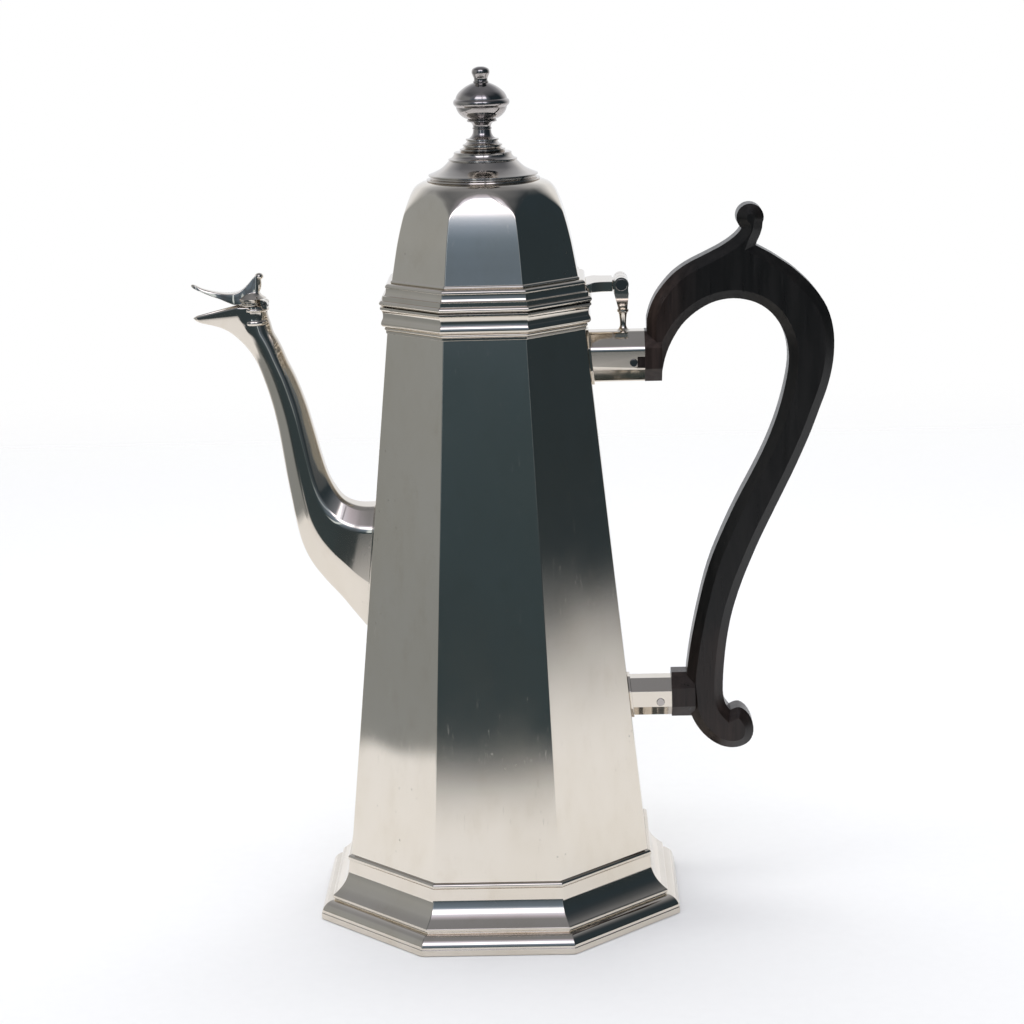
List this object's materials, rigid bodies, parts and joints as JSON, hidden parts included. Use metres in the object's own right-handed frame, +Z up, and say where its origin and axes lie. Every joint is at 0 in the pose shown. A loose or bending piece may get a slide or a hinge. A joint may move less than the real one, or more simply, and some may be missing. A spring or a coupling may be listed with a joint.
{
  "type": "silver coffee pot",
  "caption": "Tapered octagonal silver coffee pot with moulded foot, hinged domed lid and finial, faceted swan-neck spout with hinged flap, and dark wooden scroll handle.",
  "frame": {"origin": "on the vessel's vertical axis, in the plane of the foot's bottom edge", "axes": "+Z up along the vessel's axis, -X towards the spout, +X towards the handle, Y across"},
  "size_m": [0.1876, 0.1072, 0.25],
  "materials": {
    "silver_sheet": "polished",
    "silver_cast": "polished",
    "wood": "satin"
  },
  "bodies": {
    "pot": {"body_shell": "silver_sheet", "base_plate": "silver_sheet", "foot_moulding": "silver_cast", "rim_moulding": "silver_cast", "spout_neck": "silver_cast", "spout_seat": "silver_cast", "spout_collar": "silver_cast", "flap_hinge_pin": "silver_cast", "upper_socket": "silver_cast", "upper_socket_plate": "silver_cast", "lower_socket": "silver_cast", "lower_socket_plate": "silver_cast", "handle": "wood", "upper_handle_pin": "silver_cast", "lower_handle_pin": "silver_cast", "hinge_post": "silver_cast", "hinge_knuckles": "silver_cast", "lid_hinge_pin": "silver_cast"},
    "lid": {"lid_bezel": "silver_cast", "lid_flange": "silver_cast", "lid_dome": "silver_sheet", "finial_seat": "silver_cast", "finial_knop": "silver_cast", "finial_button": "silver_cast", "finial_stud": "silver_cast", "finial_nut": "silver_cast", "lid_hinge_arm": "silver_cast"},
    "flap": {"spout_flap": "silver_cast"}
  },
  "joints": [
    {"name": "lid_hinge", "type": "hinge", "parent": "pot", "child": "lid", "pos_m": [0.0393, 0, 0.187], "axis": [0, 1, 0], "range_deg": [0, 90]},
    {"name": "flap_hinge", "type": "hinge", "parent": "pot", "child": "flap", "pos_m": [-0.06495, 0, 0.183], "axis": [0, 1, 0], "range_deg": [0, 60]}
  ]
}
